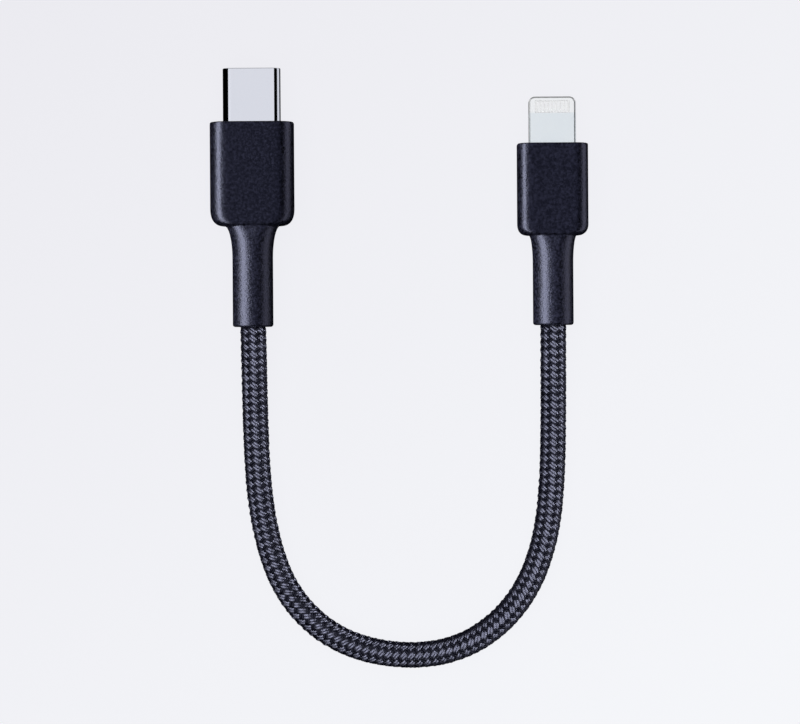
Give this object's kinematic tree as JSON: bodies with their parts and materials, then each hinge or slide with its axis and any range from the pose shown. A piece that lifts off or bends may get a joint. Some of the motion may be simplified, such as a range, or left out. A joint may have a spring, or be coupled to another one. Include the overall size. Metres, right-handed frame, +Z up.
{
  "type": "charging cable",
  "caption": "Short braided charging cable with a reversible type-C plug and a slim reversible tab plug, lying in a U.",
  "frame": {"origin": "middle of the two plugs' common outline, on the surface that the cable lies on", "axes": "+X from the type-C plug to the eight-contact plug, +Y out of both plugs' mouths, +Z up from the surface"},
  "size_m": [0.054, 0.0858, 0.0062],
  "materials": {
    "steel_shell": "drawn stainless steel, polished",
    "black_insulator": "moulded glass-filled plastic",
    "gold_contacts": "gold flash over nickel",
    "spring_steel": "plain spring steel",
    "circuit_board": "solder-masked glass epoxy",
    "chip_plastic": "moulded chip bodies",
    "solder": "solder",
    "screening_can": "folded tinned steel",
    "inner_mould": "unfilled polyethylene, natural",
    "crimp_ring": "pressed ring",
    "housing": "satin, finely textured",
    "strain_relief": "satin elastomer",
    "tab_metal": "fine satin stainless steel",
    "contact_carrier": "pale moulded plastic",
    "sleeve_yarn": "braided multifilament yarn, charcoal and black",
    "cord_jacket": "thermoplastic elastomer",
    "shield_copper": "braided bare copper",
    "wire_red": "wire insulation",
    "wire_black": "wire insulation",
    "wire_green": "wire insulation",
    "wire_white": "wire insulation",
    "wire_yellow": "wire insulation",
    "strength_yarn": "aramid yarn"
  },
  "bodies": {
    "root": {"type_c_shell": "steel_shell", "type_c_insulator": "black_insulator", "type_c_upper_contacts": "gold_contacts", "type_c_lower_contacts": "gold_contacts", "type_c_latch_plate": "spring_steel", "type_c_ground_springs": "spring_steel", "type_c_circuit_board": "circuit_board", "type_c_board_parts": "chip_plastic", "type_c_wire_joints": "solder", "type_c_upper_can": "screening_can", "type_c_lower_can": "screening_can", "type_c_inner_mould": "inner_mould", "type_c_crimp_ring": "crimp_ring", "type_c_housing": "housing", "type_c_strain_relief": "strain_relief", "eight_pin_tab": "tab_metal", "eight_pin_carrier": "contact_carrier", "eight_pin_upper_contacts": "gold_contacts", "eight_pin_lower_contacts": "gold_contacts", "eight_pin_circuit_board": "circuit_board", "eight_pin_controller_chip": "chip_plastic", "eight_pin_board_parts": "chip_plastic", "eight_pin_wire_joints": "solder", "eight_pin_upper_can": "screening_can", "eight_pin_lower_can": "screening_can", "eight_pin_inner_mould": "inner_mould", "eight_pin_crimp_ring": "crimp_ring", "eight_pin_housing": "housing", "eight_pin_strain_relief": "strain_relief", "braided_sleeve": "sleeve_yarn", "cord_jacket": "cord_jacket", "shield_braid": "shield_copper", "power_wire": "wire_red", "ground_wire": "wire_black", "data_plus_wire": "wire_green", "data_minus_wire": "wire_white", "control_wire": "wire_yellow", "strength_yarn": "strength_yarn"}
  },
  "joints": []
}
